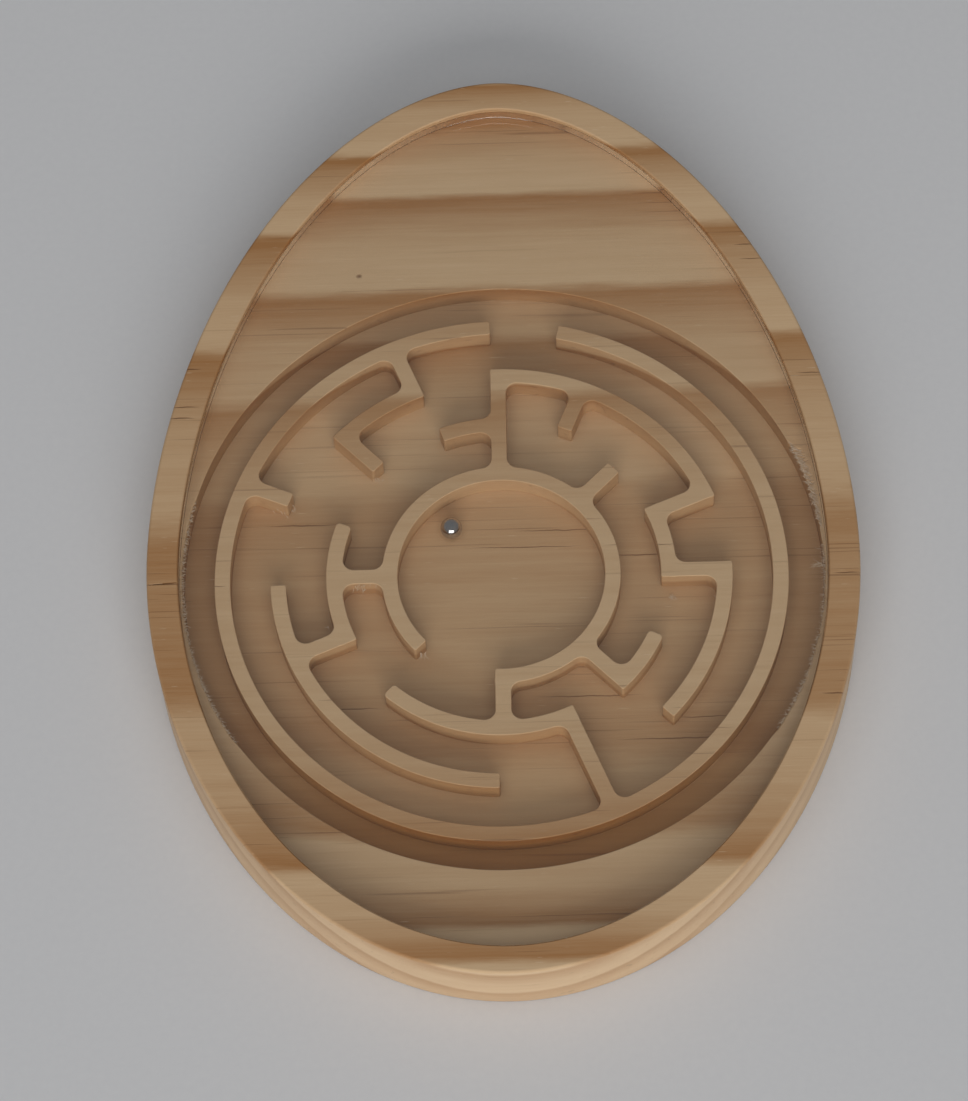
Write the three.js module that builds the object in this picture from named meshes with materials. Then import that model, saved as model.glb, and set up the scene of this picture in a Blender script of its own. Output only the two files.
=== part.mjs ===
// Egg-shaped tilt maze: one block of pine with a round maze milled into it, a clear
// window let into a recess over the maze, and one loose steel ball in the corridors.
// Millimetres, +Z up, +Y towards the narrow end, origin at the bottom centre of the
// bounding box.
import * as THREE from 'three';

// ---------------------------------------------------------------- driving dimensions

// Heights above the table
const FLOOR_TOP = 4.6; // what the ball rolls on
const SHELF_TOP = 8.0; // the shelf that the window lies on, and the tops of the walls
const WINDOW_TOP = 11.0;
const RIM_TOP = 11.6;

// An egg outline has its widest line at Y = EGG_Y and two half ovals, one each way.
// Each half oval is |x / halfWidth|^power + |y / reach|^power = 1.
const EGG_Y = -8.09;
const BLOCK = { halfWidth: 50.99, narrow: [79.23, 1.851], broad: [63.05, 1.967] };
const RECESS = { halfWidth: 46.5, narrow: [74.5, 1.831], broad: [58.95, 1.956] };
const WINDOW_GAP = 0.25; // gap between the window and the rim
const TOP_EASE = 0.4; // sanded outer top edge of the rim
const BOTTOM_EASE = 0.15;
const RECESS_CHAMFER = 0.3; // light chamfer round the rim's inner top edge
const WINDOW_EASE = 0.15; // polished edge of the window
const OUTLINE_STEPS = 144;

// Maze: one round pocket, and four ring walls joined by straight spokes, on a
// sixteen-part circle
const POCKET_R = 45.92;
const POCKET_Y = -9.11;
const MAZE_X = -0.28;
const MAZE_Y = -9.63;
const SECTOR = 22.5; // degrees between neighbouring spoke positions
const RING_PITCH = 8.0;
const RING_1_R = 16.0;
const WALL_THICK = 2.26;
const JOIN_GAP = 0.12; // clearance between a spoke and its ring, and between shelf and rim
const ARC_STEP = 3.0; // degrees between the corners of a curved wall
const ROUND_END_STEPS = 6;

// Ball
const BALL_R = 3.175 / 2;
const BALL_ORBIT_R = 10.9;
const BALL_ANGLE = 130.8;

// Ring walls: ring number, start and end angle of the solid wall, and whether the
// start and the end are rounded (an end in a corner is square)
const RING_WALLS = [
  { name: 'ring1_wall', ring: 1, from: -90.0, to: 223.5, corners: 'from' },
  { name: 'ring2_wall_east', ring: 2, from: 0.0, to: 22.5, corners: 'both' },
  { name: 'ring2_wall_north', ring: 2, from: 90.0, to: 110.3, corners: 'from' },
  { name: 'ring2_wall_west', ring: 2, from: 159.5, to: 202.5, corners: 'to', round: 'from' },
  { name: 'ring2_wall_south', ring: 2, from: 227.5, to: 292.5, corners: 'to', round: 'from' },
  { name: 'ring2_wall_southeast', ring: 2, from: 315.0, to: 335.7, corners: 'from', round: 'to' },
  { name: 'ring3_wall_southeast', ring: 3, from: 316.3, to: 360.0, corners: 'to' },
  { name: 'ring3_wall_northeast', ring: 3, from: 22.5, to: 90.0, corners: 'both' },
  { name: 'ring3_wall_northwest', ring: 3, from: 112.5, to: 135.0, corners: 'both' },
  { name: 'ring3_wall_southwest', ring: 3, from: 181.8, to: 268.8 },
  { name: 'ring4_wall', ring: 4, from: 91.5, to: 437.3 },
];

// Spokes: angle, and the rings they run between; a spoke with freeEnd stops short of
// the second ring at that radius, with a rounded end
const SPOKES = [
  { angle: 0 * SECTOR, from: 2, to: 3 },
  { angle: 1 * SECTOR, from: 2, to: 3 },
  { angle: 2 * SECTOR, from: 1, freeEnd: 23.4 },
  { angle: 3 * SECTOR, from: 3, freeEnd: 24.9 },
  { angle: 4 * SECTOR, from: 1, to: 2 },
  { angle: 4 * SECTOR, from: 2, to: 3 },
  { angle: 5 * SECTOR, from: 3, to: 4 },
  { angle: 6 * SECTOR, from: 3, freeEnd: 24.8 },
  { angle: 7 * SECTOR, from: 4, freeEnd: 32.8 },
  { angle: 8 * SECTOR, from: 1, to: 2 },
  { angle: 9 * SECTOR, from: 2, to: 3 },
  { angle: 12 * SECTOR, from: 1, to: 2 },
  { angle: 13 * SECTOR, from: 2, to: 4 },
  { angle: 14 * SECTOR, from: 1, to: 2 },
];

// ---------------------------------------------------------------- materials

const pine = (name, color) => {
  const material = new THREE.MeshStandardMaterial({ color, roughness: 0.75 });
  material.name = name;
  return material;
};
const clear = new THREE.MeshStandardMaterial({
  color: 0xe8f0f0,
  roughness: 0.05,
  transparent: true,
  opacity: 0.3,
});
clear.name = 'acrylic';
const steel = new THREE.MeshStandardMaterial({ color: 0xc8cacc, roughness: 0.15, metalness: 1 });
steel.name = 'steel';

const PINE = 0xdfb67f;

const object = new THREE.Group();
object.name = 'tilt_maze_game';

function addMesh(name, geometry, material) {
  const mesh = new THREE.Mesh(geometry, material);
  mesh.name = name;
  object.add(mesh);
}

// ---------------------------------------------------------------- outlines

const radians = (degrees) => (degrees * Math.PI) / 180;

// Distance from the egg's centre to an outline, inset by the same amount all round
function eggRadius(outline, inset, angle) {
  const [reach, power] = Math.sin(angle) >= 0 ? outline.narrow : outline.broad;
  const across = Math.abs(Math.cos(angle)) / (outline.halfWidth - inset);
  const along = Math.abs(Math.sin(angle)) / (reach - inset);
  return (across ** power + along ** power) ** (-1 / power);
}

// One loop of points at height z, at the given distance from a centre on the Y axis
function loopPoints({ radiusAt, centreY, z }) {
  const points = [];
  for (let i = 0; i < OUTLINE_STEPS; i += 1) {
    const angle = (2 * Math.PI * i) / OUTLINE_STEPS;
    const radius = radiusAt(angle);
    points.push(radius * Math.cos(angle), centreY + radius * Math.sin(angle), z);
  }
  return points;
}

const egg = (outline, inset, z) => ({
  radiusAt: (angle) => eggRadius(outline, inset, angle),
  centreY: EGG_Y,
  z,
});
const circle = (radius, centreY, z) => ({ radiusAt: () => radius, centreY, z });

// Joins a list of loops, one after the other, into a closed skin. A board closes on
// its two centre points, and a ring closes on its first loop.
function loft(loops, isRing) {
  const positions = loops.flatMap(loopPoints);
  const index = [];
  const joined = isRing ? loops.length : loops.length - 1;
  for (let loop = 0; loop < joined; loop += 1) {
    const low = loop * OUTLINE_STEPS;
    const high = ((loop + 1) % loops.length) * OUTLINE_STEPS;
    for (let i = 0; i < OUTLINE_STEPS; i += 1) {
      const next = (i + 1) % OUTLINE_STEPS;
      index.push(low + i, low + next, high + next);
      index.push(low + i, high + next, high + i);
    }
  }
  if (!isRing) {
    const bottom = positions.length / 3;
    positions.push(0, EGG_Y, loops[0].z);
    positions.push(0, EGG_Y, loops[loops.length - 1].z);
    const last = (loops.length - 1) * OUTLINE_STEPS;
    for (let i = 0; i < OUTLINE_STEPS; i += 1) {
      const next = (i + 1) % OUTLINE_STEPS;
      index.push(bottom, next, i);
      index.push(bottom + 1, last + i, last + next);
    }
  }
  const geometry = new THREE.BufferGeometry();
  geometry.setAttribute('position', new THREE.Float32BufferAttribute(positions, 3));
  geometry.setIndex(index);
  geometry.computeVertexNormals();
  return geometry;
}

// ---------------------------------------------------------------- block and window

const pineMaterial = () => pine('pine', PINE);

const blockBase = loft([
  egg(BLOCK, BOTTOM_EASE, 0),
  egg(BLOCK, 0, BOTTOM_EASE),
  egg(BLOCK, 0, FLOOR_TOP),
], false);
addMesh('block_base', blockBase, pineMaterial());

// The rim round the window's recess, and the shelf between the recess and the pocket
const blockRim = loft([
  egg(BLOCK, 0, FLOOR_TOP),
  egg(BLOCK, 0, RIM_TOP - TOP_EASE),
  egg(BLOCK, TOP_EASE * 0.3, RIM_TOP - TOP_EASE * 0.3),
  egg(BLOCK, TOP_EASE, RIM_TOP),
  egg(RECESS, -RECESS_CHAMFER, RIM_TOP),
  egg(RECESS, 0, RIM_TOP - RECESS_CHAMFER),
  egg(RECESS, 0, FLOOR_TOP),
], true);
addMesh('block_rim', blockRim, pineMaterial());

const blockShelf = loft([
  egg(RECESS, JOIN_GAP, FLOOR_TOP),
  egg(RECESS, JOIN_GAP, SHELF_TOP),
  circle(POCKET_R, POCKET_Y, SHELF_TOP),
  circle(POCKET_R, POCKET_Y, FLOOR_TOP),
], true);
addMesh('block_shelf', blockShelf, pineMaterial());

const windowPlate = loft([
  egg(RECESS, WINDOW_GAP + WINDOW_EASE, SHELF_TOP),
  egg(RECESS, WINDOW_GAP, SHELF_TOP + WINDOW_EASE),
  egg(RECESS, WINDOW_GAP, WINDOW_TOP - WINDOW_EASE),
  egg(RECESS, WINDOW_GAP + WINDOW_EASE, WINDOW_TOP),
], false);
addMesh('window', windowPlate, clear);

// ---------------------------------------------------------------- maze walls

const ringRadius = (ring) => RING_1_R + RING_PITCH * (ring - 1);
const HALF_WALL = WALL_THICK / 2;

// Upright wall with the given plan, from the floor to the window, placed at the
// maze's centre
function wall(points) {
  const shape = new THREE.Shape(points);
  const geometry = new THREE.ExtrudeGeometry(shape, {
    depth: SHELF_TOP - FLOOR_TOP,
    bevelEnabled: false,
  });
  geometry.translate(MAZE_X, MAZE_Y, FLOOR_TOP);
  return geometry;
}

const polarPoint = (radius, degrees) => new THREE.Vector2(
  radius * Math.cos(radians(degrees)),
  radius * Math.sin(radians(degrees)),
);

// Half circle of points that rounds the end of a curved wall, beyond the wall's end
// angle (side = 1) or before its start angle (side = -1)
function roundedArcEnd(middle, degrees, side) {
  const points = [];
  for (let i = 1; i < ROUND_END_STEPS; i += 1) {
    const turn = (Math.PI * i) / ROUND_END_STEPS;
    const radius = middle + side * HALF_WALL * Math.cos(turn);
    const beyond = (side * HALF_WALL * Math.sin(turn)) / middle;
    points.push(polarPoint(radius, degrees + (beyond * 180) / Math.PI));
  }
  return points;
}

function ringWall({ ring, from, to, corners = 'none', round = 'none' }) {
  const middle = ringRadius(ring);
  const halfAngle = (Math.asin(HALF_WALL / middle) * 180) / Math.PI;
  const hasCorner = (end) => corners === end || corners === 'both';
  const isRound = (end) => round === end;
  // A corner carries on past its spoke; a round end gives up room for its half circle
  const start = from + (hasCorner('from') ? -halfAngle : 0) + (isRound('from') ? halfAngle : 0);
  const end = to + (hasCorner('to') ? halfAngle : 0) - (isRound('to') ? halfAngle : 0);
  const steps = Math.ceil((end - start) / ARC_STEP);
  const points = [];
  for (let i = 0; i <= steps; i += 1) {
    points.push(polarPoint(middle + HALF_WALL, start + ((end - start) * i) / steps));
  }
  if (isRound('to')) points.push(...roundedArcEnd(middle, end, 1));
  for (let i = steps; i >= 0; i -= 1) {
    points.push(polarPoint(middle - HALF_WALL, start + ((end - start) * i) / steps));
  }
  if (isRound('from')) points.push(...roundedArcEnd(middle, start, -1));
  return wall(points);
}

// Straight wall along a spoke, between two distances from the maze's centre, with a
// rounded end at the free one
function spokeWall({ angle, from, to, freeEnd }) {
  const start = ringRadius(from);
  const away = Math.sign((freeEnd ?? ringRadius(to)) - start);
  const near = start + away * (HALF_WALL + JOIN_GAP);
  const far = freeEnd === undefined
    ? ringRadius(to) - away * (HALF_WALL + JOIN_GAP)
    : freeEnd - away * HALF_WALL;
  const local = [[near, -HALF_WALL], [far, -HALF_WALL]];
  if (freeEnd !== undefined) {
    for (let i = 1; i < ROUND_END_STEPS; i += 1) {
      const turn = (Math.PI * i) / ROUND_END_STEPS;
      local.push([far + away * HALF_WALL * Math.sin(turn), -HALF_WALL * Math.cos(turn)]);
    }
  }
  local.push([far, HALF_WALL], [near, HALF_WALL]);
  const origin = new THREE.Vector2(0, 0);
  return wall(local.map(([x, y]) => new THREE.Vector2(x, y).rotateAround(origin, radians(angle))));
}

for (const spec of RING_WALLS) {
  addMesh(spec.name, ringWall(spec), pineMaterial());
}
for (const spec of SPOKES) {
  const sector = String(spec.angle / SECTOR).padStart(2, '0');
  const reach = spec.freeEnd === undefined ? `to_ring${spec.to}` : 'stub';
  const name = `spoke${sector}_ring${spec.from}_${reach}`;
  addMesh(name, spokeWall(spec), pineMaterial());
}

// ---------------------------------------------------------------- ball

const ball = new THREE.SphereGeometry(BALL_R, 24, 16);
const ballSpot = polarPoint(BALL_ORBIT_R, BALL_ANGLE);
ball.rotateX(Math.PI / 2);
ball.translate(MAZE_X + ballSpot.x, MAZE_Y + ballSpot.y, FLOOR_TOP + BALL_R);
addMesh('steel_ball', ball, steel);

export default object;
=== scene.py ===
import math
import random

import bmesh
import bpy
import numpy as np
from mathutils import Matrix, Vector, geometry


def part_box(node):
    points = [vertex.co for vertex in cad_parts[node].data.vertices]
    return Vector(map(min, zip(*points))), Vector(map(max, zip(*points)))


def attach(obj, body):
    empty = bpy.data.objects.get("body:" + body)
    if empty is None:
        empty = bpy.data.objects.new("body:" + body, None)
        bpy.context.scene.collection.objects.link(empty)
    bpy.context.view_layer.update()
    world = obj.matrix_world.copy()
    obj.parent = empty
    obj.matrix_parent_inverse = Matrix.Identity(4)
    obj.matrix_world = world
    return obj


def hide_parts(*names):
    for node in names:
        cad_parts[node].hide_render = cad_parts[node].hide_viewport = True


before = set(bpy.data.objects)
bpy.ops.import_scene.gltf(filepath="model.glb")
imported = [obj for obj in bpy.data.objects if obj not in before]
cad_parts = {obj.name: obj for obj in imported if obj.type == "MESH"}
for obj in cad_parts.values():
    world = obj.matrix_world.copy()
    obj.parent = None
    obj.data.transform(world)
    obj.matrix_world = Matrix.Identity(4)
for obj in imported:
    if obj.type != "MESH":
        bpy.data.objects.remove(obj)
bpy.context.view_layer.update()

MM = 0.001
SEED = 7

# ------------------------------------------------------------------ driving dimensions


def height_of(node):
    """Top of a CAD node above the table, in millimetres."""
    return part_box(node)[1][2] / MM


FLOOR_TOP = height_of("block_base")
SHELF_TOP = height_of("block_shelf")
WINDOW_TOP = height_of("window")
RIM_TOP = height_of("block_rim")

# An egg outline has its widest line at EGG_Y and two half ovals, one each way, each with
# its reach and its power: |x / half_width| ** power + |y / reach| ** power = 1
EGG_Y = -8.09
BLOCK = {"half_width": 50.99, "narrow": (79.23, 1.851), "broad": (63.05, 1.967)}
RECESS = {"half_width": 46.5, "narrow": (74.5, 1.831), "broad": (58.95, 1.956)}
RIM_MIDDLE = {"half_width": 48.7, "narrow": 76.9, "broad": 61.0, "power": 1.9}
WINDOW_GAP = 0.07
WINDOW_LIFT = 0.03  # air under the window
WINDOW_EASE = 0.1
TOP_EASE = 0.4
BOTTOM_EASE = 0.15
RECESS_CHAMFER = 0.2
RECESS_ROW_DEPTH = 1.4  # extra row of points down the side of the recess
OUTLINE_STEPS = 720

POCKET_R = 45.92
POCKET_Y = -9.11
MAZE_X = -0.28
MAZE_Y = -9.63
SECTOR = 22.5
RING_PITCH = 8.0
RING_1_R = 16.0
HALF_WALL = 1.13
CUTTER_R = 3.175 / 2
CORNER_R = 0.3  # worn outer corners of the walls
END_R = 0.6  # corners of the ends that were cut rounder
WALL_EASE = 0.12  # worn top edge of the walls and the shelf
PLAN_STEP = 0.25

# Ring walls: ring, start and end angle, ends that carry on round a corner, rounded ends
RING_WALLS = [
    (1, -90.0, 223.5, "from", ""),
    (2, 0.0, 22.5, "from to", ""),
    (2, 90.0, 110.3, "from", ""),
    (2, 159.5, 202.5, "to", "from"),
    (2, 227.5, 292.5, "to", "from"),
    (2, 315.0, 335.7, "from", "to"),
    (3, 316.3, 360.0, "to", ""),
    (3, 22.5, 90.0, "from to", ""),
    (3, 112.5, 135.0, "from to", ""),
    (3, 181.8, 268.8, "", ""),
    (4, 91.5, 437.3, "", ""),
]
# Spokes: sector, the ring they start from, and the ring or the free radius they reach
SPOKES = [
    (0, 2, 3, None),
    (1, 2, 3, None),
    (2, 1, None, 23.4),
    (3, 3, None, 24.9),
    (4, 1, 2, None),
    (4, 2, 3, None),
    (5, 3, 4, None),
    (6, 3, None, 24.8),
    (7, 4, None, 32.8),
    (8, 1, 2, None),
    (9, 2, 3, None),
    (12, 1, 2, None),
    (13, 2, 4, None),
    (14, 1, 2, None),
]

CRACK_Y = -11.3  # drying crack across the left side of the rim
CRACK_DEPTH = 0.5
CRACK_HALF_ANGLE = 0.0024  # radians, seen from the middle of the egg
TEAR_DEPTH = 0.45  # how deep the cutter tore the fibres out of the thin shelf
TEAR_SHELF_SHARE = 0.7  # the most of the shelf's width that is torn
TEAR_FADE = 2.5
# Where the shelf is torn: side of the pocket, from and to along Y, and the most that is torn
TORN = [(1, -3.5, 10.5, 2.0), (1, -36.0, -5.0, 0.4), (-1, -36.0, 4.0, 0.35)]
# Tufts of torn fibres: place in plan, height, direction they lean in (degrees), how many,
# how far they spread, and their length
TUFTS = [
    (45.2, 9.6, 7.8, 165, 16, 1.2, 1.5),
    (45.5, -9.3, 7.8, 185, 12, 0.9, 1.8),
    (-20.5, -10.9, 7.8, 265, 20, 2.8, 0.8),
    (-31.5, 2.6, 6.0, 300, 14, 2.2, 0.8),
    (24.3, -12.4, 4.9, 290, 10, 0.8, 1.0),
    (31.2, -12.6, 4.9, 330, 8, 1.2, 0.9),
    (-11.7, -21.0, 6.2, 275, 8, 0.5, 1.3),
    (-18.0, 6.9, 6.0, 280, 8, 0.7, 1.0),
    (0.0, 6.3, 7.9, 200, 7, 1.5, 0.7),
    (-25.0, -16.2, 5.2, 300, 6, 0.8, 0.8),
]
# Fibres lifted from the thin shelf beside the pocket: side, from and to along Y, their
# direction at the north end, spacing and length
FANS = [
    (1, -4.0, 10.4, -12, 0.2, 2.3),
    (1, -9.4, -7.0, 185, 0.8, 1.3),
    (1, -32.0, -24.0, 15, 0.35, 1.0),
    (-1, -34.0, -14.0, 190, 0.3, 0.9),
]

# ------------------------------------------------------------------ plan of the maze


def ring_radius(ring):
    return RING_1_R + RING_PITCH * (ring - 1)


def box_distance(beyond_side, beyond_end):
    """Signed distance to a box from the signed distances to its side and its end."""
    outside = np.hypot(np.maximum(beyond_side, 0), np.maximum(beyond_end, 0))
    return outside + np.minimum(np.maximum(beyond_side, beyond_end), 0)


def ring_distance(x, y, wall):
    """Signed distance to a curved wall, negative inside it."""
    ring, start, end, corners, rounded = wall
    middle = ring_radius(ring)
    half_angle = math.asin(HALF_WALL / middle)
    start = math.radians(start) - (half_angle if "from" in corners else 0)
    end = math.radians(end) + (half_angle if "to" in corners else 0)
    radius = np.hypot(x, y)
    turned = np.arctan2(y, x) - (start + end) / 2
    turned = (turned + np.pi) % (2 * np.pi) - np.pi
    past_end = np.abs(turned) - (end - start) / 2
    tangent = np.where(past_end > 0, radius * np.sin(np.clip(past_end, 0, np.pi / 2)),
                       past_end * middle)
    tangent = np.where(past_end > np.pi / 2, radius, tangent)
    across = np.where(past_end > 0, radius * np.cos(past_end), radius) - middle
    is_round = np.where(turned > 0, "to" in rounded, "from" in rounded)
    corner = np.where(is_round, END_R, CORNER_R)
    return box_distance(np.abs(across) - HALF_WALL + corner, tangent + corner) - corner


def spoke_distance(x, y, spoke):
    """Signed distance to a straight wall, negative inside it."""
    sector, ring, other_ring, free_end = spoke
    angle = math.radians(sector * SECTOR)
    along = x * math.cos(angle) + y * math.sin(angle)
    across = np.abs(y * math.cos(angle) - x * math.sin(angle))
    start = ring_radius(ring)
    away = 1 if (free_end or ring_radius(other_ring)) > start else -1
    near = start - away * HALF_WALL
    far = free_end or ring_radius(other_ring) + away * HALF_WALL
    middle, half = (near + far) / 2, abs(far - near) / 2
    beyond_end = np.abs(along - middle) - half + CORNER_R
    return box_distance(across - HALF_WALL + CORNER_R, beyond_end) - CORNER_R


def free_distance(x, y):
    """Distance from a point of the corridors to the nearest wall, negative in the wood."""
    distance = POCKET_R - np.hypot(x, y - POCKET_Y)
    maze_x, maze_y = x - MAZE_X, y - MAZE_Y
    for wall in RING_WALLS:
        distance = np.minimum(distance, ring_distance(maze_x, maze_y, wall))
    for spoke in SPOKES:
        distance = np.minimum(distance, spoke_distance(maze_x, maze_y, spoke))
    return distance


def gradient(points):
    """Unit direction away from the nearest wall."""
    h = 1e-4
    x, y = points[:, 0], points[:, 1]
    slope = np.stack([
        free_distance(x + h, y) - free_distance(x - h, y),
        free_distance(x, y + h) - free_distance(x, y - h),
    ], axis=1)
    return slope / np.linalg.norm(slope, axis=1)[:, None]


def traced_loops(level):
    """Closed loops where the free distance has this value, as arrays of plan points."""
    axis = np.arange(-POCKET_R - 12, POCKET_R + 12, PLAN_STEP)
    values = free_distance(axis[:, None], axis[None, :]) - level
    free = values > 0
    corners = free[:-1, :-1].astype(int) + free[1:, :-1] + free[:-1, 1:] + free[1:, 1:]
    links = {}
    for i, j in np.argwhere((corners > 0) & (corners < 4)).tolist():
        crossed = []
        if free[i, j] != free[i + 1, j]:
            crossed.append((i, j, 0))
        if free[i + 1, j] != free[i + 1, j + 1]:
            crossed.append((i + 1, j, 1))
        if free[i, j + 1] != free[i + 1, j + 1]:
            crossed.append((i, j + 1, 0))
        if free[i, j] != free[i, j + 1]:
            crossed.append((i, j, 1))
        for a, b in zip(crossed[::2], crossed[1::2]):
            links.setdefault(a, []).append(b)
            links.setdefault(b, []).append(a)
    loops = []
    unused = dict.fromkeys(links)
    while unused:
        first = next(iter(unused))
        loop, here, before = [], first, None
        while here in unused:
            del unused[here]
            loop.append(here)
            onward = [n for n in links[here] if n != before and n in unused]
            before = here
            here = onward[0] if onward else first
        points = []
        for i, j, upright in loop:
            a = values[i, j]
            b = values[i, j + 1] if upright else values[i + 1, j]
            share = a / (a - b)
            points.append((axis[i] + (0 if upright else share * PLAN_STEP),
                           axis[j] + (share * PLAN_STEP if upright else 0)))
        points = np.array(points)
        for _ in range(2):
            off = free_distance(points[:, 0], points[:, 1]) - level
            points = points - off[:, None] * gradient(points)
        loops.append(points)
    return loops


def milled_loops():
    """Foot of every wall face as the cutter leaves it, with the direction into the corridor.

    The cutter's centre runs at its own radius from the walls. Where two walls meet, its
    path has a sharp corner, and it leaves an arc of its own radius.
    """
    result = []
    for path in traced_loops(CUTTER_R):
        normals = gradient(path)
        ahead = np.roll(path, -1, axis=0) - path
        left = np.stack([-ahead[:, 1], ahead[:, 0]], axis=1)
        if (left * normals).sum() < 0:
            path, normals = path[::-1], normals[::-1]
        edge, inward = [], []
        for i in range(len(path)):
            j = (i + 1) % len(path)
            edge.append(path[i] - CUTTER_R * normals[i])
            inward.append(normals[i])
            turn = math.atan2(normals[i][0] * normals[j][1] - normals[i][1] * normals[j][0],
                              float(normals[i] @ normals[j]))
            if abs(turn) < math.radians(25):
                continue
            levels = np.array([normals[i] @ path[i], normals[j] @ path[j]])
            centre = np.linalg.solve(np.array([normals[i], normals[j]]), levels)
            steps = max(2, round(abs(turn) / math.radians(9)))
            for k in range(steps + 1):
                angle = math.atan2(normals[i][1], normals[i][0]) + turn * k / steps
                normal = np.array([math.cos(angle), math.sin(angle)])
                edge.append(centre - CUTTER_R * normal)
                inward.append(normal)
        keep_edge, keep_inward = [edge[0]], [inward[0]]
        for point, normal in zip(edge[1:], inward[1:]):
            if np.linalg.norm(point - keep_edge[-1]) > 0.02:
                keep_edge.append(point)
                keep_inward.append(normal)
        result.append((np.array(keep_edge), np.array(keep_inward)))
    return result


# ------------------------------------------------------------------ mesh building


class Skin:
    """Vertices and faces of a mesh, in millimetres."""

    def __init__(self):
        self.points = []
        self.faces = []

    def ring(self, plan, z):
        """Adds a closed loop of points and returns their numbers."""
        first = len(self.points)
        heights = np.broadcast_to(z, len(plan))
        self.points += [(float(p[0]), float(p[1]), float(h)) for p, h in zip(plan, heights)]
        return range(first, len(self.points))

    def strip(self, low, high):
        """Joins two loops of the same length; the outside is to the left of the loop."""
        n = len(low)
        for i in range(n):
            j = (i + 1) % n
            self.faces.append((low[i], high[i], high[j], low[j]))

    def fill(self, loops, z, keep, up=True):
        """Flat faces between closed loops at height z, where keep says so."""
        points, edges = [], []
        for loop in loops:
            first = len(points)
            points += [Vector((float(x), float(y))) for x, y in loop]
            count = len(loop)
            edges += [(first + i, first + (i + 1) % count) for i in range(count)]
        made, _, triangles, *_ = geometry.delaunay_2d_cdt(points, edges, [], 0, 1e-6)
        start = len(self.points)
        self.points += [(p.x, p.y, z) for p in made]
        corners = np.array([[made[i][:] for i in t] for t in triangles])
        centres = corners.mean(axis=1)
        a, b = corners[:, 1] - corners[:, 0], corners[:, 2] - corners[:, 0]
        turn = a[:, 0] * b[:, 1] - a[:, 1] * b[:, 0]
        wanted = keep(centres[:, 0], centres[:, 1]) & (np.abs(turn) > 1e-9)
        for t, good, sense in zip(triangles, wanted, turn):
            if good:
                face = tuple(start + i for i in t)
                self.faces.append(face if (sense > 0) == up else face[::-1])

    def build(self, name, sharp_angle):
        mesh = bpy.data.meshes.new(name)
        mesh.from_pydata([tuple(c * MM for c in p) for p in self.points], [], self.faces)
        work = bmesh.new()
        work.from_mesh(mesh)
        bmesh.ops.remove_doubles(work, verts=work.verts, dist=1e-7)
        loose = [v for v in work.verts if not v.link_faces]
        bmesh.ops.delete(work, geom=loose, context="VERTS")
        work.to_mesh(mesh)
        work.free()
        mesh.shade_smooth()
        mesh.set_sharp_from_angle(angle=math.radians(sharp_angle))
        for polygon in mesh.polygons:  # the big flat faces don't bend towards their edges
            polygon.use_smooth = abs(polygon.normal.z) < 0.99999
        piece = bpy.data.objects.new(name, mesh)
        bpy.context.scene.collection.objects.link(piece)
        return piece


def egg_radius(outline, inset, angles):
    narrow, broad = outline["narrow"], outline["broad"]
    reach = np.where(np.sin(angles) >= 0, narrow[0], broad[0]) - inset
    power = np.where(np.sin(angles) >= 0, narrow[1], broad[1])
    across = np.abs(np.cos(angles)) / (outline["half_width"] - inset)
    along = np.abs(np.sin(angles)) / reach
    return (across ** power + along ** power) ** (-1 / power)


def egg(outline, inset, angles):
    """Plan points of an egg outline, counter-clockwise."""
    radius = egg_radius(outline, inset, angles)
    return np.stack([radius * np.cos(angles), EGG_Y + radius * np.sin(angles)], axis=1)


def in_egg(outline, x, y):
    angles = np.arctan2(y - EGG_Y, x)
    return np.hypot(x, y - EGG_Y) < egg_radius(outline, 0, angles)


def arc_profile(width, steps):
    """Quarter round from the side (inset 0, depth width) to the top (inset width, depth 0)."""
    turns = [math.pi / 2 * k / steps for k in range(steps + 1)]
    return [(width * (1 - math.cos(t)), width * (1 - math.sin(t))) for t in turns]


def everywhere(x, y):
    return np.full(x.shape, True)


def torn_amount(edge):
    """Width of the torn strip along the pocket's edge, fading to 0 at its ends."""
    amount = np.zeros(len(edge))
    angles = np.arctan2(edge[:, 1] - EGG_Y, edge[:, 0])
    to_egg = np.hypot(edge[:, 0], edge[:, 1] - EGG_Y)
    shelf = egg_radius(RECESS, 0, angles) - to_egg
    at_pocket = np.abs(np.hypot(edge[:, 0], edge[:, 1] - POCKET_Y) - POCKET_R) < 0.05
    for side, low, high, width in TORN:
        from_ends = np.minimum(edge[:, 1] - low, high - edge[:, 1])
        fade = np.clip(from_ends / TEAR_FADE, 0, 1) * width
        amount = np.maximum(amount, np.where(edge[:, 0] * side > 0, fade, 0))
    return np.where(at_pocket, np.minimum(amount, shelf * TEAR_SHELF_SHARE), 0)


def outline_angles():
    """Even steps round the egg, with three close ones for the crack in the rim."""
    even = np.arange(OUTLINE_STEPS) * 2 * np.pi / OUTLINE_STEPS
    crack = math.pi + math.asin((EGG_Y - CRACK_Y) / BLOCK["half_width"])
    even = even[np.abs(even - crack) > CRACK_HALF_ANGLE * 1.5]
    extra = [crack - CRACK_HALF_ANGLE, crack, crack + CRACK_HALF_ANGLE]
    return np.sort(np.concatenate([even, extra])), crack


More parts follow.
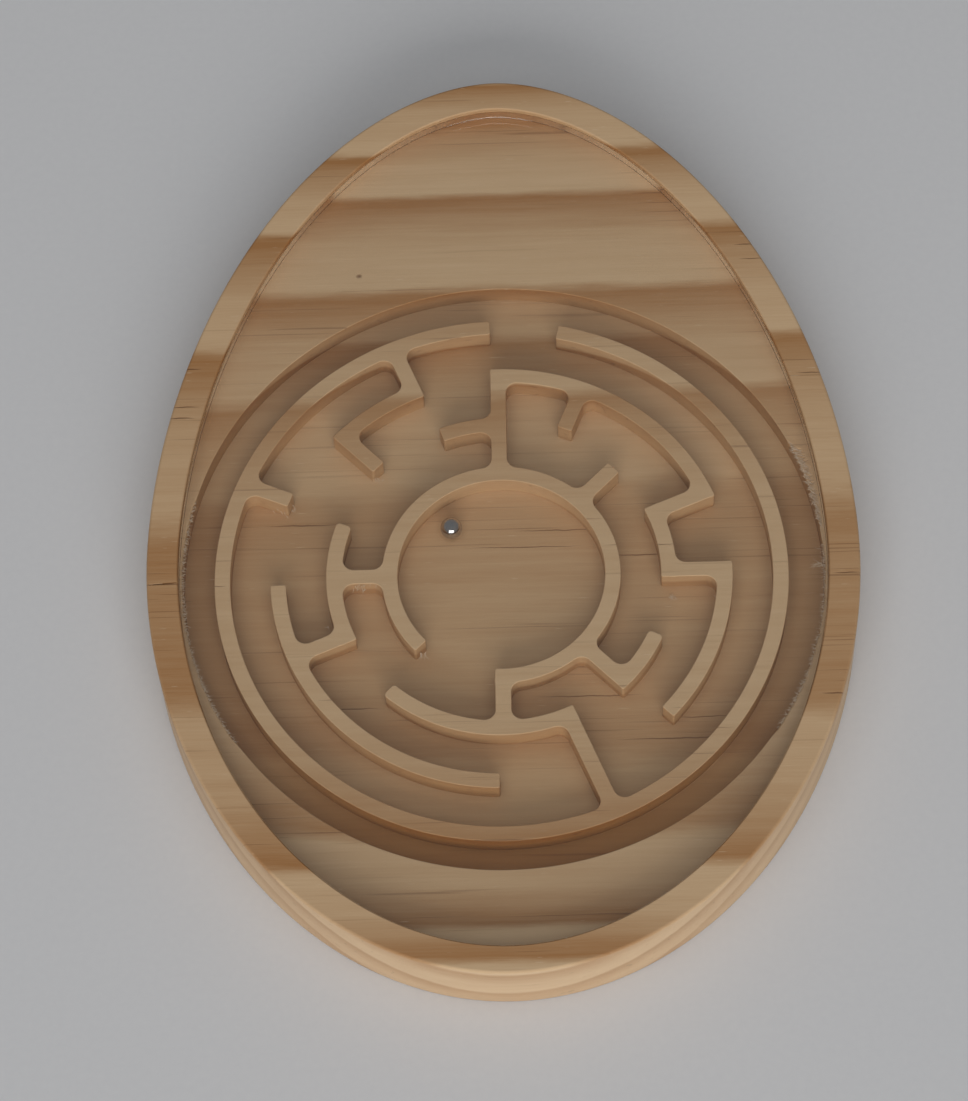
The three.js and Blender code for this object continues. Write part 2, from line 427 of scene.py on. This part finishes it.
def build_block():
    skin = Skin()
    angles, crack = outline_angles()
    clockwise = angles[::-1]
    at_crack = np.isclose(clockwise, crack)

    # Side, from the underside up over the rim and down into the recess
    profile = [(BLOCK, BOTTOM_EASE, 0.0), (BLOCK, BOTTOM_EASE * 0.3, BOTTOM_EASE * 0.3)]
    side_levels = np.linspace(BOTTOM_EASE, RIM_TOP - TOP_EASE, 7)
    profile += [(BLOCK, 0.0, z) for z in side_levels]
    profile += [(BLOCK, inset, RIM_TOP - depth) for inset, depth in arc_profile(TOP_EASE, 5)[1:]]
    rim_steps = 6
    outer = egg(BLOCK, TOP_EASE, clockwise)
    inner = egg(RECESS, -RECESS_CHAMFER, clockwise)
    loops = [skin.ring(egg(o, inset, clockwise), z) for o, inset, z in profile]
    for k in range(1, rim_steps + 1):
        plan = outer + (inner - outer) * k / rim_steps
        depth = np.where(at_crack, CRACK_DEPTH * (1 - abs(k - 2) / 9), 0.0)
        loops.append(skin.ring(plan, RIM_TOP - depth))
    # The rim's inner edge is worn round: how far outside the recess, and how deep
    worn = [(0.08, 0.07), (0.02, 0.15), (0.0, RECESS_CHAMFER), (0.0, RECESS_ROW_DEPTH)]
    for out, depth in worn:
        loops.append(skin.ring(egg(RECESS, -out, clockwise), RIM_TOP - depth))
    foot = egg(RECESS, 0, clockwise)
    loops.append(skin.ring(foot, SHELF_TOP))
    for low, high in zip(loops, loops[1:]):
        skin.strip(low, high)
    skin.fill([egg(BLOCK, BOTTOM_EASE, angles)], 0.0, everywhere, up=False)

    # Pocket walls and maze walls, with worn top edges, torn where the shelf is thinnest
    cut = milled_loops()
    rng = np.random.default_rng(SEED)
    rounding = arc_profile(WALL_EASE, 3)
    tops = []
    for edge, inward in cut:
        torn = torn_amount(edge)
        torn = torn * rng.uniform(0.55, 1.0, len(edge))
        sunk = np.minimum(torn / 0.2, 1) * TEAR_DEPTH * rng.uniform(0.3, 1.0, len(edge))
        levels = [skin.ring(edge, FLOOR_TOP)]
        for k, (inset, depth) in enumerate(rounding):
            share = k / (len(rounding) - 1)
            plan = edge - (inset + torn * share)[:, None] * inward
            levels.append(skin.ring(plan, SHELF_TOP - depth - sunk * (1 - share)))
        for low, high in zip(levels, levels[1:]):
            skin.strip(low, high)
        tops.append(plan)
    edges = [edge for edge, _ in cut]

    def corridor(x, y):
        return inside_cut(edges, x, y)

    def wall_top(x, y):
        return in_egg(RECESS, x, y) & ~inside_cut(tops, x, y)

    skin.fill(edges, FLOOR_TOP, corridor)
    skin.fill([foot, *tops], SHELF_TOP, wall_top)
    return skin.build("milled_block", 32)


def inside_cut(loops, x, y):
    """True where an odd number of loops go round the point."""
    inside = np.zeros(len(x), bool)
    for loop in loops:
        for (x0, y0), (x1, y1) in zip(loop, np.roll(loop, -1, axis=0)):
            spans = (y0 > y) != (y1 > y)
            if y0 != y1:
                inside ^= spans & (x < (x1 - x0) * (y - y0) / (y1 - y0) + x0)
    return inside


def add_fibre(skin, root, heading, length, thickness, curl, droop):
    """One torn wood fibre: a thin tapered sliver that bends as it leaves its root."""
    steps = 5
    rings = []
    place = np.array(root, float)
    for k in range(steps + 1):
        angle = heading + curl * k / steps
        step = np.array([math.cos(angle), math.sin(angle), -droop * k / steps])
        side = np.array([-math.sin(angle), math.cos(angle), 0.0])
        width = thickness * (1 - 0.85 * k / steps)
        corners = [place + side * width, place - side * width, place + (0, 0, -width)]
        first = len(skin.points)
        skin.points += [tuple(c) for c in corners]
        rings.append(range(first, first + 3))
        place = place + step * length / steps
    for low, high in zip(rings, rings[1:]):
        for i in range(3):
            j = (i + 1) % 3
            skin.faces.append((low[i], high[i], high[j], low[j]))
    skin.faces.append(tuple(rings[0]))
    skin.faces.append(tuple(rings[-1])[::-1])


def build_fibres():
    """Fibres that the cutter tore out of the wood and left standing."""
    skin = Skin()
    rng = random.Random(SEED)
    ceiling = SHELF_TOP + WINDOW_LIFT - 0.02
    for side, low, high, _ in TORN:
        count = int((high - low) * 8)
        for _ in range(count):
            y = rng.uniform(low + 1, high - 1)
            radius = POCKET_R + rng.uniform(0.0, 0.35)
            x = side * math.sqrt(radius ** 2 - (y - POCKET_Y) ** 2)
            heading = math.pi if side > 0 else 0.0
            heading += rng.gauss(0, 0.6)
            thick = rng.uniform(0.035, 0.065)
            length = rng.uniform(0.25, 0.7)
            z = ceiling - thick - rng.uniform(0, 0.2)
            add_fibre(skin, (x, y, z), heading, length, thick, rng.gauss(0, 0.9), 0.2)
    for x, y, z, lean, count, spread, length in TUFTS:
        for _ in range(count):
            root = (x + rng.gauss(0, spread / 2), y + rng.gauss(0, spread / 5), z)
            heading = math.radians(lean) + rng.gauss(0, 0.35)
            thick = rng.uniform(0.03, 0.06)
            root = (root[0], root[1], min(z + rng.gauss(0, 0.15), ceiling - thick))
            add_fibre(skin, root, heading, length * rng.uniform(0.4, 1.1), thick,
                      rng.gauss(0, 0.9), rng.uniform(0.0, 0.5))
    for side, low, high, lean, spacing, length in FANS:
        for k in range(int((high - low) / spacing)):
            y = low + (k + rng.random()) * spacing
            thick = rng.uniform(0.035, 0.06)
            radius = POCKET_R + rng.uniform(0.0, 0.15)
            x = side * math.sqrt(radius ** 2 - (y - POCKET_Y) ** 2)
            share = (y - low) / (high - low)
            heading = math.radians(lean) + side * (1 - share) * -0.5 + rng.gauss(0, 0.12)
            reach = length * (0.35 + 0.65 * share) * rng.uniform(0.7, 1.1)
            root = (x, y, ceiling - thick * rng.uniform(0.2, 0.7))
            add_fibre(skin, root, heading, reach, thick, -side * rng.uniform(0.2, 0.9), 0.0)
    return skin.build("torn_fibres", 60)


def build_window():
    skin = Skin()
    angles = np.arange(OUTLINE_STEPS)[::-1] * 2 * np.pi / OUTLINE_STEPS
    low, high = SHELF_TOP + WINDOW_LIFT, WINDOW_TOP
    bevel = arc_profile(WINDOW_EASE, 3)
    profile = [(inset, low + depth) for inset, depth in reversed(bevel)]
    profile += [(inset, high - depth) for inset, depth in bevel]
    loops = [skin.ring(egg(RECESS, WINDOW_GAP + inset, angles), z) for inset, z in profile]
    for a, b in zip(loops, loops[1:]):
        skin.strip(a, b)
    face = egg(RECESS, WINDOW_GAP + WINDOW_EASE, angles)
    skin.fill([face], low, everywhere, up=False)
    skin.fill([face], high, everywhere)
    return skin.build("clear_window", 40)


def build_ball():
    """Round ball from a finely divided cube, so that no poles show."""
    low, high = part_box("steel_ball")
    centre = (Vector(low) + Vector(high)) / 2
    radius = (high[2] - low[2]) / 2
    work = bmesh.new()
    bmesh.ops.create_cube(work, size=2)
    bmesh.ops.subdivide_edges(work, edges=work.edges, cuts=19, use_grid_fill=True)
    for v in work.verts:
        v.co = centre + v.co.normalized() * radius
    mesh = bpy.data.meshes.new("polished_ball")
    work.to_mesh(mesh)
    work.free()
    mesh.shade_smooth()
    piece = bpy.data.objects.new("polished_ball", mesh)
    bpy.context.scene.collection.objects.link(piece)
    return piece


# ------------------------------------------------------------------ materials


class Graph:
    """Small helper that adds shader nodes and joins them."""

    def __init__(self, name):
        self.material = bpy.data.materials.new(name)
        self.material.use_nodes = True
        self.tree = self.material.node_tree
        self.tree.nodes.clear()

    def add(self, kind, *values, **settings):
        """Adds a node; values go to its inputs in order, as numbers or other outputs."""
        node = self.tree.nodes.new("ShaderNode" + kind)
        for key, value in settings.items():
            setattr(node, key, value)
        for socket, value in zip(node.inputs, values):
            if value is not None:
                self.put(socket, value)
        return node

    def put(self, socket, value):
        if isinstance(value, bpy.types.NodeSocket):
            self.tree.links.new(value, socket)
        else:
            socket.default_value = value

    def math(self, operation, *values):
        return self.add("Math", *values, operation=operation).outputs[0]

    def ramp(self, value, stops, interpolation="LINEAR"):
        node = self.add("ValToRGB", value)
        node.color_ramp.interpolation = interpolation
        elements = node.color_ramp.elements
        while len(elements) < len(stops):
            elements.new(0.5)
        for element, (place, shade) in zip(elements, stops):
            element.position = place
            colour = (shade,) * 3 if isinstance(shade, (int, float)) else shade
            element.color = (*colour, 1.0)
        return node.outputs[0]

    def mix(self, share, a, b, blend="MIX"):
        node = self.add("Mix", data_type="RGBA", blend_type=blend)
        self.put(node.inputs["Factor"], share)
        for name, value in (("A", a), ("B", b)):
            socket = next(s for s in node.inputs if s.name == name and s.type == "RGBA")
            if not isinstance(value, bpy.types.NodeSocket) and len(value) == 3:
                value = (*value, 1.0)
            self.put(socket, value)
        return next(s for s in node.outputs if s.type == "RGBA")

    def noise(self, vector, scale, detail=2.0, rough=0.5, distortion=0.0):
        node = self.add("TexNoise")
        self.put(node.inputs["Vector"], vector)
        self.put(node.inputs["Scale"], scale)
        self.put(node.inputs["Detail"], detail)
        self.put(node.inputs["Roughness"], rough)
        self.put(node.inputs["Distortion"], distortion)
        return node.outputs[0]

    def stretched(self, vector, scale, offset=(0.0, 0.0, 0.0)):
        node = self.add("Mapping", vector)
        self.put(node.inputs["Scale"], scale)
        self.put(node.inputs["Location"], offset)
        return node.outputs[0]

    def egg_share(self, x, y):
        """0 well inside the recess, 1 well outside the block, 0.5 half way across the rim."""
        rim, power = RIM_MIDDLE, RIM_MIDDLE["power"]
        across = self.math("DIVIDE", self.math("ABSOLUTE", x), rim["half_width"])
        far = self.math("POWER", across, power)
        along = self.math("ABSOLUTE", self.math("SUBTRACT", y, EGG_Y))
        north = self.math("GREATER_THAN", y, EGG_Y)
        reach = self.math("MULTIPLY_ADD", north, rim["narrow"] - rim["broad"], rim["broad"])
        near = self.math("POWER", self.math("DIVIDE", along, reach), power)
        both = self.math("ADD", far, near)
        return self.add("Clamp", self.math("MULTIPLY_ADD", both, 5.0, -4.5)).outputs[0]

    def finish(self, shader):
        output = self.add("OutputMaterial")
        self.tree.links.new(shader, output.inputs["Surface"])
        return self.material


# Growth rings of the log: their common axis runs along X, below the block. Each ring is
# given by the radius where its pale early wood begins and by how dark it starts and ends.
LOG_Y = -12.7
LOG_Z = -115.0
GROWTH_RINGS = [
    (107.0, 0.14, 0.70),
    (114.6, 0.12, 0.58),
    (121.5, 0.12, 0.84),
    (127.7, 0.22, 0.97),
    (133.1, 0.08, 1.0),
    (139.5, 0.04, 1.0),
    (145.5, 0.05, 1.0),
    (151.6, 0.06, 0.9),
    (158.0, 0.05, 0.9),
]
# How far the rings stray from true circles, by place along Y
RING_WAVER = [(-71, 0.9), (-57, -0.5), (-30, -0.5), (-2, 0.55), (34, 0.5), (46, 0.0), (59, 0.0),
              (66, -0.9), (70, -0.3), (72, 0.2)]
PALE = (0.695, 0.485, 0.287)
DARK = (0.405, 0.194, 0.070)
RESIN = (0.17, 0.075, 0.03)
# Dark resin lines and small drying cracks on the upper faces; the cracks' dark colour is painted
# shade in their gaps: middle, half length and half width
LINES = [
    (-45.5, 23.4, 2.2, 0.16), (-46.0, 17.2, 2.6, 0.13), (-46.6, 15.4, 2.4, 0.16),
    (-48.8, CRACK_Y, 4.5, 0.12), (-40.9, -10.6, 1.3, 0.08), (36.6, 42.0, 1.8, 0.13),
    (37.6, 39.6, 2.2, 0.1), (45.4, 20.3, 2.4, 0.12), (49.0, -12.0, 2.2, 0.13),
    (46.8, -30.6, 2.6, 0.16), (8.0, -1.3, 7.0, 0.12), (3.0, -3.9, 9.0, 0.10),
    (20.0, -5.6, 6.0, 0.12), (12.0, -27.6, 8.0, 0.12), (24.0, -34.4, 9.0, 0.14),
    (-22.0, -28.8, 5.0, 0.12), (28.0, -31.2, 5.0, 0.10), (-29.0, 0.4, 6.0, 0.14),
]
KNOT = (-20.6, 39.6, 0.55, 0.4)


def pine_material():
    g = Graph("pine")
    place = g.add("TexCoord").outputs["Object"]
    mm = g.add("VectorMath", place, (1000.0,) * 3, operation="MULTIPLY").outputs[0]
    xyz = g.add("SeparateXYZ", mm)
    x, y, z = xyz.outputs[0], xyz.outputs[1], xyz.outputs[2]

    # Distance from the log's axis, with the slow waver of a real trunk
    south, north = RING_WAVER[0][0], RING_WAVER[-1][0]
    along_y = g.math("DIVIDE", g.math("SUBTRACT", y, south), north - south)
    bend = [((at - south) / (north - south), 0.5 + shift / 2) for at, shift in RING_WAVER]
    bend = g.math("MULTIPLY_ADD", g.ramp(along_y, bend), 2.0, -1.0)
    waver = g.noise(g.stretched(mm, (0.018, 0.03, 0.03)), 1.0, 2.0, 0.5)
    ragged = g.noise(g.stretched(mm, (0.10, 0.7, 0.7)), 1.0, 3.0, 0.6)
    dy = g.math("SUBTRACT", y, LOG_Y)
    dz = g.math("SUBTRACT", z, LOG_Z)
    radius = g.math("SQRT", g.math("ADD", g.math("MULTIPLY", dy, dy), g.math("MULTIPLY", dz, dz)))
    radius = g.math("ADD", radius, bend)
    radius = g.math("MULTIPLY_ADD", x, -0.004, radius)
    # South of the maze the rings bow away from the middle of the board
    near_south = g.math("MULTIPLY_ADD", g.math("ABSOLUTE", g.math("ADD", y, 50.0)), -1 / 16, 1.0)
    near_middle = g.math("MULTIPLY_ADD", g.math("ABSOLUTE", x), -1 / 34, 1.0)
    bow = g.math("MULTIPLY", g.add("Clamp", near_south).outputs[0],
                 g.add("Clamp", near_middle).outputs[0])
    radius = g.math("MULTIPLY_ADD", bow, -1.0, radius)
    radius = g.math("ADD", radius, g.math("MULTIPLY_ADD", waver, 0.7, -0.35))
    radius = g.math("ADD", radius, g.math("MULTIPLY_ADD", ragged, 0.6, -0.3))

    first, last = GROWTH_RINGS[0][0], GROWTH_RINGS[-1][0]
    stops = []
    for (low, pale, dark), (high, _, _) in zip(GROWTH_RINGS, GROWTH_RINGS[1:]):
        width = high - low
        profile = [(0.04, 0.0), (0.42, 0.15), (0.72, 0.62), (0.94, 1.0)]
        for along, share in profile:
            spot = (low + width * along - first) / (last - first)
            stops.append((spot, pale + (dark - pale) * share))
    share = g.math("DIVIDE", g.math("SUBTRACT", radius, first), last - first)
    tone = g.math("MULTIPLY_ADD", x, -0.001, g.ramp(share, stops))

    # Fibres along X, in three sizes, and thin rows of dark cells
    broad = g.noise(g.stretched(mm, (0.03, 0.5, 0.5), (11.0, 3.0, 7.0)), 1.0, 3.0, 0.55)
    fine = g.noise(g.stretched(mm, (0.07, 3.2, 3.2), (3.0, 5.0, 1.0)), 1.0, 3.0, 0.65)
    cells = g.noise(g.stretched(mm, (0.45, 12.0, 12.0)), 1.0, 2.0, 0.6)
    tone = g.math("ADD", tone, g.math("MULTIPLY_ADD", broad, 0.40, -0.20))
    tone = g.math("ADD", tone, g.math("MULTIPLY_ADD", fine, 0.28, -0.14))
    tone = g.math("ADD", tone, g.math("MULTIPLY_ADD", cells, 0.14, -0.07))
    tone = g.add("Clamp", tone).outputs[0]
    colour = g.mix(tone, PALE, DARK)

    rows = g.noise(g.stretched(mm, (0.028, 2.3, 1.2), (5.0, 1.0, 2.0)), 1.0, 2.0, 0.5)
    rows = g.ramp(rows, [(0.665, 0.0), (0.71, 1.0)])
    rows = g.math("MULTIPLY", rows, g.math("MULTIPLY_ADD", tone, 0.5, 0.1))
    colour = g.mix(rows, colour, RESIN)
    flecks = g.noise(g.stretched(mm, (0.32, 7.0, 7.0), (9.0, 2.0, 4.0)), 1.0, 1.0, 0.5)
    flecks = g.math("MULTIPLY", g.ramp(flecks, [(0.76, 0.0), (0.80, 1.0)]), 0.55)
    colour = g.mix(flecks, colour, (0.86, 0.70, 0.50))

    # Single resin lines, the crack, painted dark as the shade in its gap, and the knot
    wander = g.noise(g.stretched(mm, (0.35, 0.1, 0.1)), 1.0, 2.0, 0.6)
    line_y = g.math("ADD", y, g.math("MULTIPLY_ADD", wander, 0.4, -0.2))
    marks = None
    for middle_x, middle_y, half_length, half_width in [*LINES, KNOT]:
        across = g.math("DIVIDE", g.math("SUBTRACT", line_y, middle_y), half_width)
        along = g.math("DIVIDE", g.math("SUBTRACT", x, middle_x), half_length)
        squares = g.math("ADD", g.math("MULTIPLY", across, across),
                         g.math("MULTIPLY", along, along))
        mark = g.add("Clamp", g.math("SUBTRACT", 1.0, squares)).outputs[0]
        marks = mark if marks is None else g.math("MAXIMUM", marks, mark)
    # They lie in the upper faces, and only the topmost millimetre of the sides shows them
    normal = g.add("SeparateXYZ", g.add("NewGeometry").outputs["Normal"])
    from_floor_up = g.math("GREATER_THAN", z, FLOOR_TOP - 0.1)
    near_top = g.math("GREATER_THAN", z, RIM_TOP - 1.0)
    level = g.math("GREATER_THAN", g.math("ABSOLUTE", normal.outputs[2]), 0.7)
    marks = g.math("MULTIPLY", marks, g.math("MULTIPLY", from_floor_up,
                                             g.math("MAXIMUM", near_top, level)))
    colour = g.mix(g.math("MULTIPLY", marks, 0.8), colour, RESIN)

    # Faces cut across the fibres are darker and redder
    across_grain = g.math("POWER", g.math("ABSOLUTE", normal.outputs[0]), 2.0)
    colour = g.mix(g.math("MULTIPLY", across_grain, 0.30), colour, (0.80, 0.66, 0.50), "MULTIPLY")

    # Painted shade on the faces the cutter milled: the walls, and most the narrow outer lane and
    # the south
    milled = g.math("MULTIPLY", from_floor_up, g.math("LESS_THAN", z, SHELF_TOP - WALL_EASE))
    from_centre = g.math("SQRT", g.math("ADD", g.math("POWER", x, 2.0), g.math(
        "POWER", g.math("SUBTRACT", y, POCKET_Y), 2.0)))
    milled = g.math("MULTIPLY", milled, g.math("LESS_THAN", from_centre, POCKET_R + 0.2))
    lane_shade = g.ramp(g.math("DIVIDE", from_centre, POCKET_R), [
        (0.0, 0.0), (0.30, 0.05), (0.36, 0.35), (0.85, 0.42), (0.91, 1.0)])
    shade_by_y = g.ramp(g.math("MULTIPLY_ADD", y, 1 / 120, 0.5), [
        (0.1, 1.6), (0.3, 1.0), (0.5, 0.95), (0.75, 0.45)])
    upright = g.math("SUBTRACT", 1.0, g.math("ABSOLUTE", normal.outputs[2]))
    # painted shade: how much the milled walls and corridor floors are darkened
    painted_shade = g.math("MULTIPLY_ADD", lane_shade, shade_by_y, g.math("MULTIPLY", upright, 0.7))
    painted_shade = g.math("MULTIPLY", g.math("MULTIPLY", painted_shade, milled), 0.62)
    # the painted shade is more orange towards the south
    far_south = g.add("Clamp", g.math("MULTIPLY_ADD", y, -1 / 20, -1.4)).outputs[0]
    shade_tint = g.mix(far_south, (0.64, 0.52, 0.39), (0.66, 0.47, 0.25))
    colour = g.mix(painted_shade, colour, shade_tint, "MULTIPLY")
    # Painted shade darkens the recess's inner sides, and painted light makes the block's outer
    # sides paler
    beyond = g.math("SUBTRACT", 1.0, milled)
    above = g.math("GREATER_THAN", z, SHELF_TOP)
    inner = g.math("LESS_THAN", g.egg_share(x, y), 0.5)
    # painted shade on the recess's inner sides above the shelf
    recess_side_shade = g.math("MULTIPLY", g.math("MULTIPLY", beyond, above),
                         g.math("MULTIPLY", inner, upright))
    colour = g.mix(g.math("MULTIPLY", recess_side_shade, 0.8), colour, (0.70, 0.62, 0.54), "MULTIPLY")
    # painted light: the block's outer sides are painted paler than its top
    outside = g.math("MULTIPLY", g.math("MULTIPLY", beyond, upright),
                     g.math("SUBTRACT", 1.0, inner))
    colour = g.mix(g.math("MULTIPLY", outside, 0.36), colour, (0.84, 0.65, 0.44))

    height = g.math("ADD", g.math("MULTIPLY", fine, 0.6), g.math("MULTIPLY", cells, 0.4))
    height = g.math("SUBTRACT", height, g.math("MULTIPLY", marks, 1.2))
    bump = g.add("Bump")
    g.put(bump.inputs["Strength"], 0.5)
    g.put(bump.inputs["Distance"], 0.00006)
    g.put(bump.inputs["Height"], height)
    shader = g.add("BsdfPrincipled")
    g.put(shader.inputs["Base Color"], colour)
    g.put(shader.inputs["Roughness"], g.math("MULTIPLY_ADD", fine, 0.18, 0.50))
    g.put(shader.inputs["Normal"], bump.outputs[0])
    shader.inputs["Specular IOR Level"].default_value = 0.35
    return g.finish(shader.outputs[0])


def fibre_material():
    """Loose torn fibres, paler than the wood they came from."""
    g = Graph("torn_pine")
    place = g.add("TexCoord").outputs["Object"]
    spread = g.noise(place, 2500.0, 2.0, 0.6)
    shader = g.add("BsdfPrincipled")
    g.put(shader.inputs["Base Color"], g.mix(spread, (0.52, 0.37, 0.25), (0.80, 0.65, 0.48)))
    g.put(shader.inputs["Roughness"], g.math("MULTIPLY_ADD", spread, 0.2, 0.55))
    return g.finish(shader.outputs[0])


def acrylic_material():
    g = Graph("acrylic")
    shader = g.add("BsdfPrincipled")
    shader.inputs["Base Color"].default_value = (0.985, 0.99, 0.985, 1)
    shader.inputs["Transmission Weight"].default_value = 1.0
    shader.inputs["IOR"].default_value = 1.49
    place = g.add("TexCoord").outputs["Object"]
    smear = g.noise(g.stretched(place, (60.0, 45.0, 60.0)), 1.0, 3.0, 0.6, 0.6)
    hairline = g.noise(g.stretched(place, (40.0, 2600.0, 40.0)), 1.0, 2.0, 0.5)
    marks = g.ramp(hairline, [(0.70, 0.0), (0.78, 1.0)])
    rough = g.math("ADD", g.math("MULTIPLY", smear, 0.02), g.math("MULTIPLY", marks, 0.03))
    g.put(shader.inputs["Roughness"], rough)
    # Light from lamps and from the wood passes straight through, dimmed by both faces
    clear = g.add("BsdfTransparent", (0.99, 0.99, 0.985, 1))
    path = g.add("LightPath")
    joined = shader
    for kind in ("Is Diffuse Ray", "Is Shadow Ray"):
        seen = joined.outputs[0]
        joined = g.add("MixShader", path.outputs[kind])
        g.tree.links.new(seen, joined.inputs[1])
        g.tree.links.new(clear.outputs[0], joined.inputs[2])
    return g.finish(joined.outputs[0])


def steel_material():
    g = Graph("steel")
    place = g.add("TexCoord").outputs["Object"]
    lapping = g.noise(g.stretched(place, (900.0, 5200.0, 2400.0)), 1.0, 3.0, 0.6)
    film = g.noise(place, 700.0, 3.0, 0.6)
    shader = g.add("BsdfPrincipled")
    shader.inputs["Metallic"].default_value = 1.0
    colour = g.mix(film, (0.50, 0.49, 0.50), (0.62, 0.61, 0.61))
    g.put(shader.inputs["Base Color"], colour)
    g.put(shader.inputs["Roughness"], g.math("ADD", 0.05, g.math("MULTIPLY", lapping, 0.08)))
    return g.finish(shader.outputs[0])


def floor_material():
    g = Graph("table_paper")
    place = g.add("TexCoord").outputs["Object"]
    fleck = g.noise(place, 900.0, 2.0, 0.6)
    shader = g.add("BsdfPrincipled")
    colour = g.mix(fleck, (0.70, 0.70, 0.715), (0.74, 0.74, 0.75))
    g.put(shader.inputs["Base Color"], colour)
    shader.inputs["Roughness"].default_value = 0.85
    return g.finish(shader.outputs[0])


# ------------------------------------------------------------------ scene

CAMERA_PLACE = (8.97, -266.76, 554.0)
CAMERA_BELOW = 64.401  # degrees that it looks down
CAMERA_TURN = 2.56  # degrees about the upright
CAMERA_ROLL = -3.721
CAMERA_LENS = 137.6  # on a sensor 36 mm wide
TABLE_REACH = 3.0  # metres
TABLE_DROP = 0.0001


def add_camera():
    data = bpy.data.cameras.new("camera")
    camera = bpy.data.objects.new("camera", data)
    bpy.context.scene.collection.objects.link(camera)
    data.sensor_width = 36.0
    data.lens = CAMERA_LENS
    data.clip_start = 0.05
    data.clip_end = 20.0
    turn = Matrix.Rotation(math.radians(CAMERA_TURN), 3, "Z")
    roll = Matrix.Rotation(math.radians(CAMERA_ROLL), 3, "Z")
    tilt = Matrix.Rotation(math.pi / 2 - math.radians(CAMERA_BELOW), 3, "X")
    place = Matrix.Translation(Vector(CAMERA_PLACE) * MM)
    camera.matrix_world = place @ (turn @ tilt @ roll).to_4x4()
    bpy.context.scene.camera = camera


def add_area(name, place, target, size, power, colour=(1.0, 1.0, 1.0), on_glass=True):
    """Soft lamp. If on_glass is set, surfaces mirror it directly, and the ball doesn't show it.

    If not, only rays that come out through the window meet it: the ball shows it, and so does
    the window's lower face, as a pale glare over the maze when seen from behind.
    """
    data = bpy.data.lights.new(name, "AREA")
    data.shape = "RECTANGLE"
    data.size, data.size_y = size
    data.energy = power
    data.color = colour
    light = bpy.data.objects.new(name, data)
    light.location = place
    aim = Vector(target) - Vector(place)
    light.rotation_euler = aim.to_track_quat("-Z", "Y").to_euler()
    light.visible_glossy = on_glass
    light.visible_transmission = not on_glass
    bpy.context.scene.collection.objects.link(light)


def add_studio():
    world = bpy.data.worlds.new("studio")
    bpy.context.scene.world = world
    world.use_nodes = True
    background = world.node_tree.nodes["Background"]
    background.inputs["Color"].default_value = (0.93, 0.97, 1.0, 1)
    background.inputs["Strength"].default_value = 0.178
    add_area("overhead", (-0.05, -0.4, 1.5), (0, 0, 0), (1.8, 1.5), 6.3)
    add_area("front", (0.08, -2.30, 1.05), (0, 0, 0), (2.2, 1.3), 36.0, (1.0, 0.985, 0.965),
             on_glass=False)
    mesh = bpy.data.meshes.new("table")
    reach = TABLE_REACH
    corners = [(-reach, -reach, 0), (reach, -reach, 0), (reach, reach, 0), (-reach, reach, 0)]
    mesh.from_pydata(corners, [], [(0, 1, 2, 3)])
    table = bpy.data.objects.new("table", mesh)
    table.location.z = -TABLE_DROP
    bpy.context.scene.collection.objects.link(table)
    mesh.materials.append(floor_material())
    bpy.context.scene.view_settings.view_transform = "Standard"


def main():
    add_camera()
    pine = pine_material()
    block = build_block()
    block.data.materials.append(pine)
    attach(block, "block")
    wooden = [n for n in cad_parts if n.startswith(("block_", "ring", "spoke"))]
    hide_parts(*wooden)

    fibres = build_fibres()
    fibres.data.materials.append(fibre_material())
    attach(fibres, "block")

    window = build_window()
    window.data.materials.append(acrylic_material())
    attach(window, "block")
    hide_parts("window")

    ball = build_ball()
    ball.data.materials.append(steel_material())
    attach(ball, "ball")
    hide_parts("steel_ball")
    add_studio()


main()
